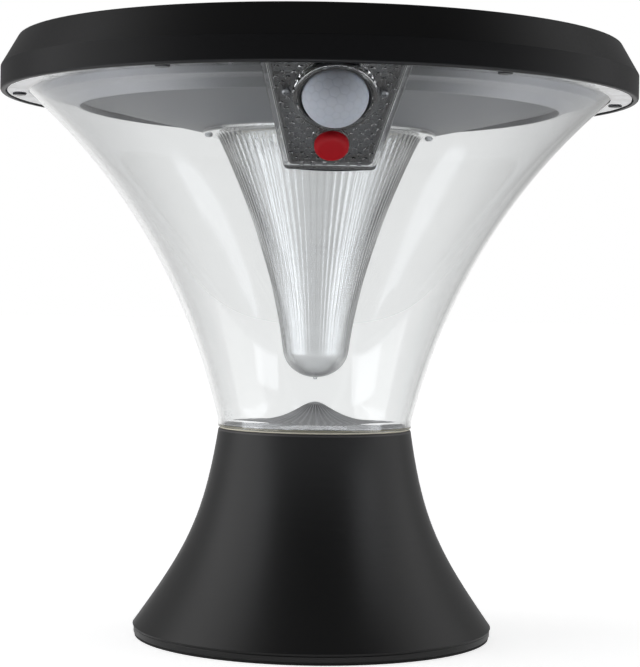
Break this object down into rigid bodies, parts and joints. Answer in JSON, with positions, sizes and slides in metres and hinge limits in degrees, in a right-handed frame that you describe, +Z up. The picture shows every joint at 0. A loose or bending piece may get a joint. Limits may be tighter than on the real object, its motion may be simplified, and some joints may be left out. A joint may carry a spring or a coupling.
{
  "type": "solar pedestal light",
  "caption": "Solar pedestal light: a black-rimmed solar disc on a clear trumpet shade with a hanging fluted light cone and a motion sensor, on a flared black pedestal.",
  "frame": {"origin": "centre of the foot's underside, on the ground", "axes": "+Z up the light's axis; the motion sensor faces -Y; +X to its right as seen from the front"},
  "size_m": [0.368, 0.368, 0.3425],
  "materials": {
    "rim_black": "satin",
    "pedestal_black": "satin",
    "plate_black": "satin",
    "foot_rubber": "matte",
    "neck_silicone": "matte",
    "seal_rubber": "matte",
    "clear_shade": "gloss",
    "clear_cone": "gloss",
    "clear_window": "gloss",
    "reflector_silver": "gloss",
    "pan_grey": "satin",
    "screw_steel": "satin",
    "screw_black": "satin",
    "circuit_board": "satin",
    "led_board_white": "satin",
    "led_phosphor": "gloss",
    "chip_black": "matte",
    "connector_ivory": "satin",
    "ferrite": "matte",
    "capacitor_sleeve": "gloss",
    "panel_glass": "gloss",
    "solar_cell": "satin",
    "ribbon_silver": "satin",
    "backsheet_black": "satin",
    "adhesive_black": "matte",
    "junction_black": "matte",
    "battery_sleeve": "satin",
    "nickel_strip": "satin",
    "cradle_grey": "matte",
    "lead_red": "satin",
    "lead_white": "satin",
    "lead_black": "satin",
    "lead_grey": "satin",
    "housing_grey": "satin",
    "bezel_black": "satin",
    "lens_milk": "satin",
    "sensor_can": "satin",
    "button_red": "satin"
  },
  "bodies": {
    "light": {"foot_pad": "foot_rubber", "base_plate": "plate_black", "pedestal": "pedestal_black", "set_screws": "screw_steel", "neck_gasket": "neck_silicone", "neck_screws": "screw_steel", "reflector": "reflector_silver", "shade": "clear_shade", "flange_screws": "screw_black", "shade_seal": "seal_rubber", "head_pan": "pan_grey", "led_board": "led_board_white", "leds": "led_phosphor", "led_board_screws": "screw_steel", "light_cone": "clear_cone", "cone_screws": "screw_steel", "battery_cradle": "cradle_grey", "battery_cells": "battery_sleeve", "weld_strips": "nickel_strip", "cradle_screws": "screw_steel", "control_board": "circuit_board", "board_screws": "screw_steel", "inductor": "ferrite", "capacitors": "capacitor_sleeve", "board_chips": "chip_black", "board_connectors": "connector_ivory", "panel_lead": "lead_red", "led_lead": "lead_white", "battery_lead": "lead_black", "sensor_lead": "lead_grey", "rim_frame": "rim_black", "panel_adhesive": "adhesive_black", "panel_backsheet": "backsheet_black", "solar_cells": "solar_cell", "cell_ribbons": "ribbon_silver", "panel_glass": "panel_glass", "junction_box": "junction_black", "sensor_cover": "clear_window", "sensor_gasket": "seal_rubber", "sensor_housing": "housing_grey", "window_screws": "screw_steel", "sensor_board_screws": "screw_steel", "pir_bezel": "bezel_black", "pir_lens": "lens_milk", "sensor_board": "circuit_board", "pir_sensor": "sensor_can", "tact_switch": "chip_black"},
    "button": {"mode_button": "button_red", "switch_plunger": "bezel_black"}
  },
  "joints": [
    {"name": "button_press", "type": "slide", "parent": "light", "child": "button", "axis": [0, 0.7071, 0.7071], "range_m": [0, 0.001], "stiffness_N_per_m": 2000}
  ]
}
